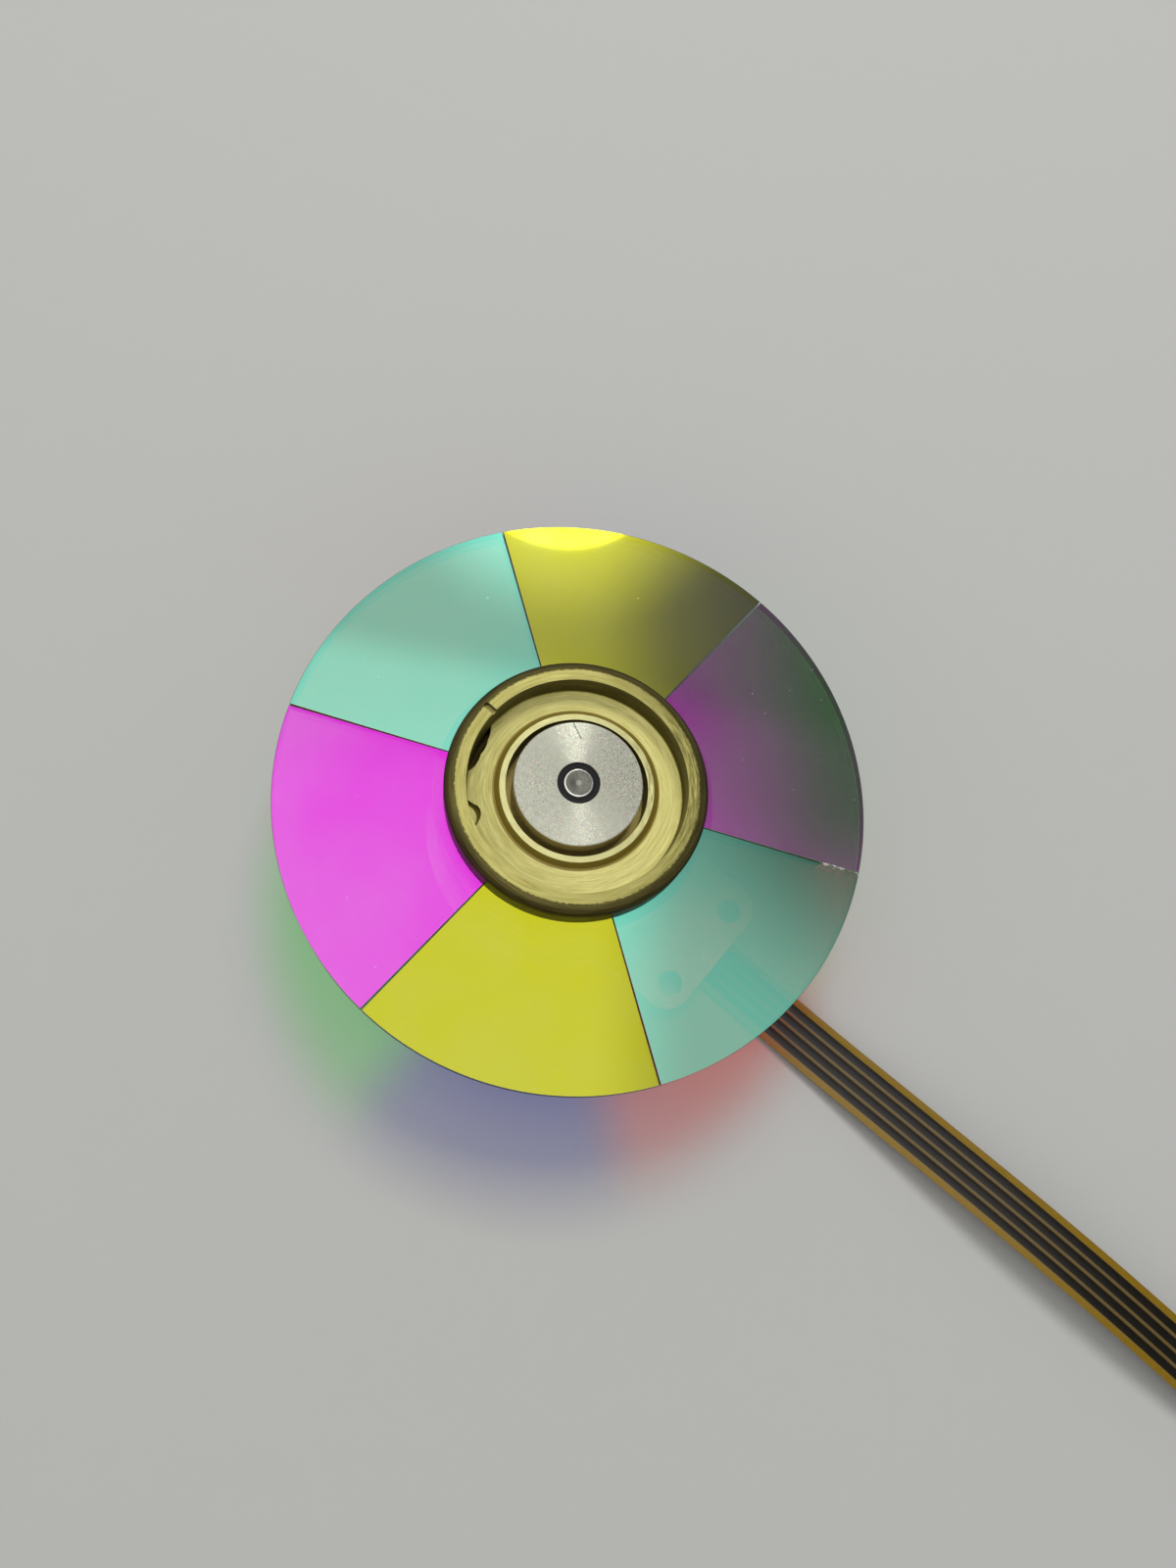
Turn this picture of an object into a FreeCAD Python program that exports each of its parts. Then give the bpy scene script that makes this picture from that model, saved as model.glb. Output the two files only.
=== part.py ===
# Projector colour wheel: six dichroic glass sectors on a small outer-rotor motor with a flat cable.
# The glass sits between a turned aluminium hub and a brass balance ring, over a steel rotor cup.
# Frame: +Z along the spin axis, origin on that axis in the plane of the mounting plate's underside,
# +X along the cable. Millimetres and degrees.
import FreeCAD, Part
import math
import os

import Sketcher
from FreeCAD import Placement, Rotation, Vector

doc = FreeCAD.newDocument("colour_wheel")
sheet = doc.addObject("Spreadsheet::Sheet", "sizes")


class Dim:
    """A size as a number, with the sheet expression that gives the same number."""

    def __init__(self, number, text):
        self.number = float(number)
        self.text = text

    def joined(self, other, number, sign, turned=False):
        first, second = (other, self) if turned else (self, other)
        return Dim(number, f"({first.text} {sign} {second.text})")

    def __add__(self, other):
        other = as_dim(other)
        return self.joined(other, self.number + other.number, "+")

    def __sub__(self, other):
        other = as_dim(other)
        return self.joined(other, self.number - other.number, "-")

    def __mul__(self, other):
        other = as_dim(other)
        return self.joined(other, self.number * other.number, "*")

    def __truediv__(self, other):
        other = as_dim(other)
        return self.joined(other, self.number / other.number, "/")

    def __radd__(self, other):
        return as_dim(other) + self

    def __rsub__(self, other):
        return as_dim(other) - self

    def __rmul__(self, other):
        return as_dim(other) * self

    def __neg__(self):
        return Dim(-self.number, f"(0 - {self.text})")


def as_dim(value):
    return value if isinstance(value, Dim) else Dim(value, repr(float(value)))


def cosine(angle):
    return Dim(math.cos(math.radians(angle.number)), f"cos({angle.text} * 1 deg)")


def sine(angle):
    return Dim(math.sin(math.radians(angle.number)), f"sin({angle.text} * 1 deg)")


def size(alias, value):
    """One driving size in the next row of the sheet."""
    row = len(sheet_rows) + 1
    sheet_rows.append(alias)
    sheet.set(f"A{row}", alias.replace("_", " "))
    sheet.set(f"B{row}", str(value))
    sheet.setAlias(f"B{row}", alias)
    return Dim(value, f"sizes.{alias}")


sheet_rows = []

# Filter disc
glass_radius = size("glass_radius", 25.0)
glass_bore = size("glass_bore", 10.05)
glass_thickness = size("glass_thickness", 1.1)
filter_gap = size("filter_gap", 0.25)  # degrees between neighbouring sectors
red_span = size("red_span", 59.2)  # degrees
green_span = size("green_span", 63.1)
first_joint = size("first_joint", 146.0)  # where the first red sector starts
bond_thickness = size("bond_thickness", 0.05)

# Brass balance ring, heights from the face of the glass
ring_radius = size("ring_radius", 11.1)
ring_height = size("ring_height", 1.85)
ring_shoulder = size("ring_shoulder", 0.9)
ring_spigot_gap = size("ring_spigot_gap", 0.1)
trough_radius = size("trough_radius", 9.27)
trough_depth = size("trough_depth", 1.2)
trough_rise = size("trough_rise", 0.17)
collar_foot_radius = size("collar_foot_radius", 7.08)
collar_radius = size("collar_radius", 6.5)
collar_bore = size("collar_bore", 6.0)
collar_height = size("collar_height", 0.85)

# Balance cuts in the trough and across the rim, angles from +X
cut_long_radius = size("cut_long_radius", 2.78)
cut_long_reach = size("cut_long_reach", 11.19)
cut_long_angle = size("cut_long_angle", 201.6)
cut_side_radius = size("cut_side_radius", 2.05)
cut_side_reach = size("cut_side_reach", 11.09)
cut_side_angle = size("cut_side_angle", 186.4)
cut_deep = size("cut_deep", 0.7)  # below the foot of the trough wall
cut_light_radius = size("cut_light_radius", 1.5)
cut_light_reach = size("cut_light_reach", 9.7)
cut_light_angle = size("cut_light_angle", 234.7)
cut_light_depth = size("cut_light_depth", 0.02)
cut_wall = size("cut_wall", 0.05)  # left between a cut and the trough wall
nick_width = size("nick_width", 0.52)
nick_reach = size("nick_reach", 10.1)
nick_depth = size("nick_depth", 0.35)
nick_angle = size("nick_angle", 180.2)

# Hub
boss_radius = size("boss_radius", 5.4)
boss_height = size("boss_height", 1.96)  # above the face of the glass
hub_radius = size("hub_radius", 12.0)
hub_flange = size("hub_flange", 0.8)
hub_land_height = size("hub_land_height", 1.85)
hub_land_width = size("hub_land_width", 1.85)
hub_spigot_radius = size("hub_spigot_radius", 3.95)
hub_spigot_length = size("hub_spigot_length", 1.0)

# Shaft and its seal ring
shaft_radius = size("shaft_radius", 1.25)
shaft_chamfer = size("shaft_chamfer", 0.15)
shaft_tip = size("shaft_tip", 0.35)
dimple_radius = size("dimple_radius", 0.62)
dimple_depth = size("dimple_depth", 0.3)
groove_depth = size("groove_depth", 0.25)
seal_radius = size("seal_radius", 1.8)
seal_seat = size("seal_seat", 0.5)
seal_proud = size("seal_proud", 0.05)
fit_gap = size("fit_gap", 0.01)  # radial, between pieces pressed or glued together
running_gap = size("running_gap", 0.02)  # radial, shaft in its sleeve
clip_radius = size("clip_radius", 1.95)
clip_thickness = size("clip_thickness", 0.3)
clip_play = size("clip_play", 0.02)  # each side, in its groove
clip_gap = size("clip_gap", 0.05)  # from the groove up to the sleeve

# Rotor cup and magnet
yoke_radius = size("yoke_radius", 11.0)
yoke_wall = size("yoke_wall", 0.8)
yoke_height = size("yoke_height", 6.6)
yoke_lift = size("yoke_lift", 1.9)  # from the plate to the cup's open rim
yoke_corner = size("yoke_corner", 0.5)
magnet_thickness = size("magnet_thickness", 1.28)
magnet_height = size("magnet_height", 4.4)
magnet_inset = size("magnet_inset", 0.4)
mark_height = size("mark_height", 3.0)
mark_thickness = size("mark_thickness", 0.1)
mark_span = size("mark_span", 24.0)  # degrees
mark_angle = size("mark_angle", 57.0)

# Mounting plate
plate_thickness = size("plate_thickness", 1.5)
plate_radius = size("plate_radius", 12.6)
plate_reach = size("plate_reach", 18.9)
plate_width = size("plate_width", 14.0)
plate_corner = size("plate_corner", 2.3)
screw_inset = size("screw_inset", 2.1)  # from the plate's edge
screw_spacing = size("screw_spacing", 8.8)
screw_radius = size("screw_radius", 1.1)
plate_fillet = size("plate_fillet", 2.0)

# Bearing
holder_foot_radius = size("holder_foot_radius", 4.2)
holder_inset = size("holder_inset", 0.2)
holder_flange_radius = size("holder_flange_radius", 6.0)
holder_flange = size("holder_flange", 0.7)
holder_seat_radius = size("holder_seat_radius", 4.3)
holder_radius = size("holder_radius", 3.3)
holder_top = size("holder_top", 8.6)
sleeve_radius = size("sleeve_radius", 2.6)
sleeve_bottom = size("sleeve_bottom", 2.05)
sleeve_inset = size("sleeve_inset", 0.2)
thrust_plate_thickness = size("thrust_plate_thickness", 0.5)
thrust_pad_thickness = size("thrust_pad_thickness", 0.3)
thrust_pad_radius = size("thrust_pad_radius", 2.0)
thrust_gap = size("thrust_gap", 0.03)

# Stator
core_bottom = size("core_bottom", 4.3)
core_height = size("core_height", 2.8)
core_radius = size("core_radius", 8.6)
core_ring_radius = size("core_ring_radius", 4.7)
tooth_width = size("tooth_width", 1.2)
shoe_thickness = size("shoe_thickness", 0.9)
shoe_span = size("shoe_span", 33.0)  # degrees
insulator_thickness = size("insulator_thickness", 0.3)
insulator_margin = size("insulator_margin", 0.2)
coil_build = size("coil_build", 0.72)
coil_gap = size("coil_gap", 0.05)
coil_inner_reach = size("coil_inner_reach", 4.95)
coil_length = size("coil_length", 2.4)
coil_corner = size("coil_corner", 0.45)

# Flat cable and its ends
flex_width = size("flex_width", 5.0)
flex_thickness = size("flex_thickness", 0.2)
channel_depth = size("channel_depth", 0.5)
channel_margin = size("channel_margin", 0.3)
channel_start = size("channel_start", 5.6)
slot_reach = size("slot_reach", 8.0)
slot_length = size("slot_length", 1.6)
slot_width = size("slot_width", 4.0)
lead_pitch = size("lead_pitch", 1.0)
solder_width = size("solder_width", 0.6)
solder_length = size("solder_length", 0.9)
solder_height = size("solder_height", 0.18)
stiffener_length = size("stiffener_length", 9.0)
contact_length = size("contact_length", 4.0)
contact_width = size("contact_width", 0.62)
contact_thickness = size("contact_thickness", 0.05)

HALF_TURN = 180.0  # degrees: each half of the disc holds one sector of each colour
TOOTH_COUNT = 9
PHASE_COUNT = 3
LEAD_COUNT = 4

# Heights worked out from the stack, from the plate up
yoke_bottom = plate_thickness + yoke_lift
yoke_top = yoke_bottom + yoke_height
glass_bottom = yoke_top + hub_land_height + bond_thickness
glass_top = glass_bottom + glass_thickness
ring_bottom = yoke_top + hub_flange
hub_top = glass_top + boss_height
ring_spigot_radius = glass_bore - ring_spigot_gap
shaft_bottom = holder_inset + thrust_plate_thickness + thrust_pad_thickness + thrust_gap
core_top = core_bottom + core_height
flex_top = channel_depth - fit_gap

parts = []


def new_body(name):
    body = doc.addObject("PartDesign::Body", name)
    body.Label = name
    parts.append(body)
    return body


def origin_of(body, role):
    for feature in body.Origin.OriginFeatures:
        if feature.Role == role:
            return feature
    raise RuntimeError(f"{body.Label} has no {role}")


def bind(thing, path, value):
    """Ties a property, or a part of one, to the sheet."""
    thing.setExpression(path, as_dim(value).text)


def pin(sketch, geometry, point, place):
    """Fixes a sketch point at a place given as two sizes from the sketch's origin."""
    for kind, value, letter, axis in (("DistanceX", place[0], "x", -2), ("DistanceY", place[1], "y", -1)):
        value = as_dim(value)
        if value.text in ("0.0", "-0.0"):
            sketch.addConstraint(Sketcher.Constraint("PointOnObject", geometry, point, axis))
            continue
        name = f"{letter}{geometry}_{point}"
        index = sketch.addConstraint(Sketcher.Constraint(kind, -1, 1, geometry, point, value.number))
        sketch.renameConstraint(index, name)
        bind(sketch, f"Constraints.{name}", value)


def draw_polygon(sketch, places):
    first = sketch.GeometryCount
    corners = [Vector(as_dim(x).number, as_dim(y).number, 0) for x, y in places]
    for i, corner in enumerate(corners):
        sketch.addGeometry(Part.LineSegment(corner, corners[(i + 1) % len(corners)]), False)
    for i in range(len(corners)):
        following = first + (i + 1) % len(corners)
        sketch.addConstraint(Sketcher.Constraint("Coincident", first + i, 2, following, 1))
    for i, place in enumerate(places):
        pin(sketch, first + i, 1, place)


def draw_rectangle(sketch, across, up):
    draw_polygon(sketch, [(across[0], up[0]), (across[1], up[0]), (across[1], up[1]), (across[0], up[1])])


def draw_circle(sketch, radius, place=(0, 0)):
    radius = as_dim(radius)
    centre = Vector(as_dim(place[0]).number, as_dim(place[1]).number, 0)
    circle = sketch.addGeometry(Part.Circle(centre, Vector(0, 0, 1), radius.number), False)
    name = f"radius{circle}"
    index = sketch.addConstraint(Sketcher.Constraint("Radius", circle, radius.number))
    sketch.renameConstraint(index, name)
    bind(sketch, f"Constraints.{name}", radius)
    pin(sketch, circle, 3, place)


def draw_sector(sketch, inner, outer, span):
    """A ring sector that is symmetric about the sketch's X axis."""
    half = math.radians(span.number / 2)
    arcs = []
    for radius in (inner, outer):
        circle = Part.Circle(Vector(0, 0, 0), Vector(0, 0, 1), radius.number)
        arc = sketch.addGeometry(Part.ArcOfCircle(circle, -half, half), False)
        index = sketch.addConstraint(Sketcher.Constraint("Radius", arc, radius.number))
        sketch.renameConstraint(index, f"radius{arc}")
        bind(sketch, f"Constraints.radius{arc}", radius)
        sketch.addConstraint(Sketcher.Constraint("Coincident", arc, 3, -1, 1))
        arcs.append(arc)
    for side, end in ((-1, 1), (1, 2)):
        low, high = (
            Vector(r.number * math.cos(half), side * r.number * math.sin(half), 0) for r in (inner, outer)
        )
        line = sketch.addGeometry(Part.LineSegment(low, high), False)
        sketch.addConstraint(Sketcher.Constraint("Coincident", line, 1, arcs[0], end))
        sketch.addConstraint(Sketcher.Constraint("Coincident", line, 2, arcs[1], end))
        index = sketch.addConstraint(Sketcher.Constraint("Angle", line, side * half))
        sketch.renameConstraint(index, f"angle{line}")
        bind(sketch, f"Constraints.angle{line}", side * span / 2)
        if side == 1:
            sketch.addConstraint(Sketcher.Constraint("Symmetric", arcs[1], 1, arcs[1], 2, -1))


def new_sketch(body, plane, name, lift=None):
    sketch = body.newObject("Sketcher::SketchObject", f"{body.Name}_{name}")
    sketch.AttachmentSupport = (origin_of(body, plane), [""])
    sketch.MapMode = "FlatFace"
    if lift is not None:
        bind(sketch, "AttachmentOffset.Base.z", lift)
    return sketch


def turned(name, *profiles, span=None, middle=None):
    """A turned piece: profiles of (radius, height) revolved about Z, whole or as a sector."""
    body = new_body(name)
    sketch = new_sketch(body, "XZ_Plane", "profile")
    for profile in profiles:
        draw_polygon(sketch, profile)
    revolution = body.newObject("PartDesign::Revolution", f"{name}_turning")
    revolution.Profile = sketch
    revolution.ReferenceAxis = (sketch, ["V_Axis"])
    revolution.Angle = 360
    if span is not None:
        revolution.Midplane = True
        revolution.Angle = span.number
        bind(revolution, "Angle", span)
        body.Placement = Placement(Vector(0, 0, 0), Rotation(Vector(0, 0, 1), middle.number))
        bind(body, "Placement.Rotation.Angle", middle)
    doc.recompute()
    return body


def rectangle(name, inner, outer, base, height, **sector):
    """A turned piece with a rectangular section."""
    top = base + height
    return turned(name, ((inner, base), (outer, base), (outer, top), (inner, top)), **sector)


def padded(body, sketch, height, name):
    pad = body.newObject("PartDesign::Pad", f"{body.Name}_{name}")
    pad.Profile = sketch
    pad.Length = as_dim(height).number
    bind(pad, "Length", height)
    doc.recompute()
    return pad


def pocketed(body, sketch, depth, name, upward=False):
    """Cuts a sketch down, or up, into the body, and makes sure that something was cut."""
    before = body.Shape.Volume
    pocket = body.newObject("PartDesign::Pocket", f"{body.Name}_{name}")
    pocket.Profile = sketch
    pocket.Reversed = upward
    pocket.Length = as_dim(depth).number
    bind(pocket, "Length", depth)
    doc.recompute()
    if not body.Shape.Volume < before - 1e-4:
        raise RuntimeError(f"{pocket.Name} cuts nothing")
    return pocket


def repeated(body, features, count, name):
    """Copies features evenly round Z."""
    pattern = body.newObject("PartDesign::PolarPattern", f"{body.Name}_{name}")
    pattern.Originals = features
    pattern.Axis = (origin_of(body, "Z_Axis"), [""])
    pattern.Angle = 360
    pattern.Occurrences = count
    body.Tip = pattern
    doc.recompute()
    return pattern


def edge_names(shape, wanted):
    return [f"Edge{i + 1}" for i, edge in enumerate(shape.Edges) if wanted(edge)]


def is_upright(edge, place):
    """Whether an edge runs along Z through a place in plan."""
    ends = [vertex.Point for vertex in edge.Vertexes]
    return len(ends) == 2 and all(
        abs(p.x - place[0].number) < 1e-3 and abs(p.y - place[1].number) < 1e-3 for p in ends
    )


def eased(body, kind, names, amount, name):
    """A fillet or a chamfer on the named edges of the body's last feature."""
    if not names:
        raise RuntimeError(f"{body.Name}_{name} finds no edge")
    feature = body.newObject(f"PartDesign::{kind}", f"{body.Name}_{name}")
    base = [f for f in body.Group if f.isDerivedFrom("PartDesign::Feature") and f is not feature][-1]
    feature.Base = (base, names)
    path = "Radius" if kind == "Fillet" else "Size"
    setattr(feature, path, amount.number)
    bind(feature, path, amount)
    body.Tip = feature
    doc.recompute()
    return feature


# Six glass sectors, two of each colour, named by the light that they let through
def filters():
    blue_span = HALF_TURN - red_span - green_span
    start = first_joint
    for number in (1, 2):
        for colour, span in (("red", red_span), ("green", green_span), ("blue", blue_span)):
            rectangle(
                f"{colour}_filter_{number}",
                glass_bore,
                glass_radius,
                glass_bottom,
                glass_thickness,
                span=span - filter_gap,
                middle=start + span / 2,
            )
            start = start + span


def filter_bond():
    inner = hub_radius - hub_land_width + bond_thickness
    outer = hub_radius - bond_thickness
    rectangle("filter_bond", inner, outer, glass_bottom - bond_thickness, bond_thickness)


# The balance ring is a turned trough. Milled cuts in its floor and one across its rim balance the wheel.
def balance_ring():
    rim = glass_top + ring_height
    foot = glass_top - trough_depth
    bulge = ring_shoulder * (1 - cosine(as_dim(45)))  # the rounded shoulder at its middle
    body = turned(
        "balance_ring_blank",
        (
            (collar_bore, ring_bottom),
            (ring_spigot_radius, ring_bottom),
            (ring_spigot_radius, glass_top),
            (ring_radius, glass_top),
            (ring_radius, rim - ring_shoulder),
            (ring_radius - bulge, rim - bulge),
            (ring_radius - ring_shoulder, rim),
            (trough_radius, rim),
            (trough_radius, foot),
            (collar_foot_radius, glass_top + trough_rise),
            (collar_radius, glass_top + collar_height),
            (collar_bore, glass_top + collar_height),
        ),
    )
    parts.remove(body)

    def cylinder(name, radius, height, reach, angle, base):
        tool = doc.addObject("Part::Cylinder", name)
        bind(tool, "Radius", radius)
        bind(tool, "Height", height)
        bind(tool, "Placement.Base.x", reach * cosine(angle))
        bind(tool, "Placement.Base.y", reach * sine(angle))
        bind(tool, "Placement.Base.z", base)
        return tool

    headroom = trough_depth + trough_rise
    deep = foot - cut_deep
    light = foot - cut_light_depth
    long_tool = cylinder(
        "cutter_long", cut_long_radius, headroom + cut_deep, cut_long_reach, cut_long_angle, deep
    )
    side_tool = cylinder(
        "cutter_side", cut_side_radius, headroom + cut_deep, cut_side_reach, cut_side_angle, deep
    )
    light_tool = cylinder(
        "cutter_light", cut_light_radius, headroom + cut_light_depth, cut_light_reach, cut_light_angle, light
    )
    cutters = doc.addObject("Part::MultiFuse", "cutters")
    cutters.Shapes = [long_tool, side_tool, light_tool]
    within = cylinder(
        "cutter_limit", trough_radius - cut_wall, headroom + cut_deep, as_dim(0), as_dim(0), deep
    )
    milled = doc.addObject("Part::Common", "milled_cuts")
    milled.Base, milled.Tool = cutters, within

    nick_end = cylinder("nick_end", nick_width / 2, nick_depth, nick_reach, nick_angle, rim - nick_depth)
    nick_run = doc.addObject("Part::Box", "nick_run")
    bind(nick_run, "Length", nick_reach - trough_radius + nick_width)
    bind(nick_run, "Width", nick_width)
    bind(nick_run, "Height", nick_depth)
    nick_run.Placement.Rotation = Rotation(Vector(0, 0, 1), nick_angle.number)
    bind(nick_run, "Placement.Rotation.Angle", nick_angle)
    start = trough_radius - nick_width
    bind(nick_run, "Placement.Base.x", start * cosine(nick_angle) + nick_width / 2 * sine(nick_angle))
    bind(nick_run, "Placement.Base.y", start * sine(nick_angle) - nick_width / 2 * cosine(nick_angle))
    bind(nick_run, "Placement.Base.z", rim - nick_depth)
    nick = doc.addObject("Part::Fuse", "nick")
    nick.Base, nick.Tool = nick_run, nick_end
    doc.recompute()

    first = doc.addObject("Part::Cut", "balance_ring_cut")
    first.Base, first.Tool = body, milled
    ring = doc.addObject("Part::Cut", "balance_ring")
    ring.Base, ring.Tool = first, nick
    ring.Label = "balance_ring"
    doc.recompute()
    if not ring.Shape.Volume < first.Shape.Volume < body.Shape.Volume:
        raise RuntimeError("a balance cut takes nothing off the ring")
    parts.append(ring)


def rotor_hub():
    spigot_bottom = yoke_top - hub_spigot_length
    land_radius = hub_radius - hub_land_width
    turned(
        "rotor_hub",
        (
            (shaft_radius + fit_gap, spigot_bottom),
            (hub_spigot_radius, spigot_bottom),
            (hub_spigot_radius, yoke_top),
            (hub_radius, yoke_top),
            (hub_radius, yoke_top + hub_land_height),
            (land_radius, yoke_top + hub_land_height),
            (land_radius, ring_bottom),
            (boss_radius, ring_bottom),
            (boss_radius, hub_top),
            (seal_radius, hub_top),
            (seal_radius, hub_top - seal_seat),
            (shaft_radius + fit_gap, hub_top - seal_seat),
        ),
    )


def shaft():
    groove_top = sleeve_bottom - clip_gap
    groove_bottom = groove_top - clip_thickness - 2 * clip_play
    groove_radius = shaft_radius - groove_depth
    tip_radius = shaft_radius - shaft_tip
    turned(
        "shaft",
        (
            (0, shaft_bottom),
            (tip_radius, shaft_bottom),
            (shaft_radius, shaft_bottom + shaft_tip),
            (shaft_radius, groove_bottom),
            (groove_radius, groove_bottom),
            (groove_radius, groove_top),
            (shaft_radius, groove_top),
            (shaft_radius, hub_top - shaft_chamfer),
            (shaft_radius - shaft_chamfer, hub_top),
            (dimple_radius, hub_top),
            (0, hub_top - dimple_depth),
        ),
    )
    clip_bottom = groove_bottom + clip_play
    rectangle("retaining_ring", groove_radius + fit_gap, clip_radius, clip_bottom, clip_thickness)


def shaft_seal():
    bore = shaft_radius + 2 * fit_gap
    rectangle("shaft_seal", bore, seal_radius - fit_gap, hub_top - seal_seat, seal_seat + seal_proud)


def rotor_yoke():
    bore = hub_spigot_radius + fit_gap
    inner = yoke_radius - yoke_wall
    roof = yoke_top - yoke_wall
    turned(
        "rotor_yoke",
        (
            (bore, roof),
            (inner, roof),
            (inner, yoke_bottom),
            (yoke_radius, yoke_bottom),
            (yoke_radius, yoke_top - yoke_corner),
            (yoke_radius - yoke_corner, yoke_top),
            (bore, yoke_top),
        ),
    )

    outer = inner - fit_gap
    rectangle("magnet_ring", outer - magnet_thickness, outer, yoke_bottom + magnet_inset, magnet_height)

    mark_bottom = yoke_bottom + (yoke_height - mark_height) / 2
    skin = yoke_radius + fit_gap
    outside = skin + mark_thickness
    rectangle("timing_mark", skin, outside, mark_bottom, mark_height, span=mark_span, middle=mark_angle)


# The plate carries the motor. It has two screw holes, one each side of the cable.
def base_plate():
    body = new_body("base_plate")
    disc = new_sketch(body, "XY_Plane", "disc")
    draw_circle(disc, plate_radius)
    padded(body, disc, plate_thickness, "disc_pad")

    tongue = new_sketch(body, "XY_Plane", "tongue")
    half = plate_width / 2
    draw_rectangle(tongue, (0, plate_reach), (-half, half))
    padded(body, tongue, plate_thickness, "tongue_pad")

    corners = [(plate_reach, half), (plate_reach, -half)]
    names = edge_names(body.Shape, lambda edge: any(is_upright(edge, place) for place in corners))
    eased(body, "Fillet", names, plate_corner, "corners")

    def is_inner_corner(edge):
        ends = [vertex.Point for vertex in edge.Vertexes]
        if len(ends) != 2 or abs(ends[0].z - ends[1].z) < plate_thickness.number / 2:
            return False
        on_disc = abs(math.hypot(ends[0].x, ends[0].y) - plate_radius.number) < 1e-3
        return on_disc and abs(abs(ends[0].y) - half.number) < 1e-3

    eased(body, "Fillet", edge_names(body.Shape, is_inner_corner), plate_fillet, "webs")

    holes = new_sketch(body, "XY_Plane", "holes", plate_thickness)
    draw_circle(holes, holder_foot_radius + fit_gap)
    screw_reach = plate_reach - screw_inset
    for side in (1, -1):
        draw_circle(holes, screw_radius, (screw_reach, side * screw_spacing / 2))
    pocketed(body, holes, plate_thickness, "holes_cut")

    channel = new_sketch(body, "XY_Plane", "channel")
    side = flex_width / 2 + channel_margin
    draw_rectangle(channel, (channel_start, plate_reach), (-side, side))
    pocketed(body, channel, channel_depth, "channel_cut", upward=True)

    slot = new_sketch(body, "XY_Plane", "slot", plate_thickness)
    near, far = slot_reach - slot_length / 2, slot_reach + slot_length / 2
    draw_rectangle(slot, (near, far), (-slot_width / 2, slot_width / 2))
    pocketed(body, slot, plate_thickness, "slot_cut")


def bearing():
    foot = holder_inset
    turned(
        "bearing_holder",
        (
            (sleeve_radius, foot),
            (holder_foot_radius, foot),
            (holder_foot_radius, plate_thickness),
            (holder_flange_radius, plate_thickness),
            (holder_flange_radius, plate_thickness + holder_flange),
            (holder_seat_radius, plate_thickness + holder_flange),
            (holder_seat_radius, core_bottom),
            (holder_radius, core_bottom),
            (holder_radius, holder_top),
            (sleeve_radius, holder_top),
        ),
    )
    outer = sleeve_radius - fit_gap
    length = holder_top - sleeve_inset - sleeve_bottom
    rectangle("bearing_sleeve", shaft_radius + running_gap, outer, sleeve_bottom, length)
    rectangle("thrust_plate", 0, outer, foot, thrust_plate_thickness)
    rectangle("thrust_pad", 0, thrust_pad_radius, foot + thrust_plate_thickness, thrust_pad_thickness)


# Nine teeth with shoes that face the magnet
def stator_core():
    body = new_body("stator_core")
    ring = new_sketch(body, "XY_Plane", "ring", core_bottom)
    draw_circle(ring, core_ring_radius)
    draw_circle(ring, holder_radius + fit_gap)
    padded(body, ring, core_height, "ring_pad")
    arm = new_sketch(body, "XY_Plane", "arm", core_bottom)
    root = (holder_radius + core_ring_radius) / 2
    neck = core_radius - shoe_thickness / 2
    half = tooth_width / 2
    draw_rectangle(arm, (root, neck), (-half, half))
    arm_pad = padded(body, arm, core_height, "arm_pad")
    shoe = new_sketch(body, "XY_Plane", "shoe", core_bottom)
    draw_sector(shoe, core_radius - shoe_thickness, core_radius, shoe_span)
    shoe_pad = padded(body, shoe, core_height, "shoe_pad")
    repeated(body, [arm_pad, shoe_pad], TOOTH_COUNT, "teeth")


def insulator(name, base, bore):
    body = new_body(name)
    ring = new_sketch(body, "XY_Plane", "ring", base)
    draw_circle(ring, core_ring_radius + insulator_margin)
    draw_circle(ring, bore)
    padded(body, ring, insulator_thickness, "ring_pad")
    arm = new_sketch(body, "XY_Plane", "arm", base)
    root = (bore + core_ring_radius) / 2
    end = coil_inner_reach + coil_length + coil_gap
    half = tooth_width / 2 + insulator_margin
    draw_rectangle(arm, (root, end), (-half, half))
    arm_pad = padded(body, arm, insulator_thickness, "arm_pad")
    repeated(body, [arm_pad], TOOTH_COUNT, "arms")


# Each phase is three coils, wound on every third tooth
def coils(name, first_tooth):
    body = new_body(name)
    outline = new_sketch(body, "YZ_Plane", "outline", coil_inner_reach)
    inner = tooth_width / 2 + insulator_margin + coil_gap
    low = core_bottom - insulator_thickness - coil_gap
    high = core_top + insulator_thickness + coil_gap
    outer = inner + coil_build
    bottom, top = low - coil_build, high + coil_build
    draw_rectangle(outline, (-outer, outer), (bottom, top))
    draw_rectangle(outline, (-inner, inner), (low, high))
    pad = padded(body, outline, coil_length, "winding")

    def is_outer_corner(edge):
        ends = [vertex.Point for vertex in edge.Vertexes]
        along = abs(ends[0].x - ends[-1].x) > coil_length.number / 2
        return along and abs(abs(ends[0].y) - outer.number) < 1e-3

    bevel = eased(body, "Chamfer", edge_names(body.Shape, is_outer_corner), coil_corner, "bevel")
    repeated(body, [pad, bevel], PHASE_COUNT, "phase")
    turn = 360.0 / TOOTH_COUNT * first_tooth
    body.Placement = Placement(Vector(0, 0, 0), Rotation(Vector(0, 0, 1), turn))


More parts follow.
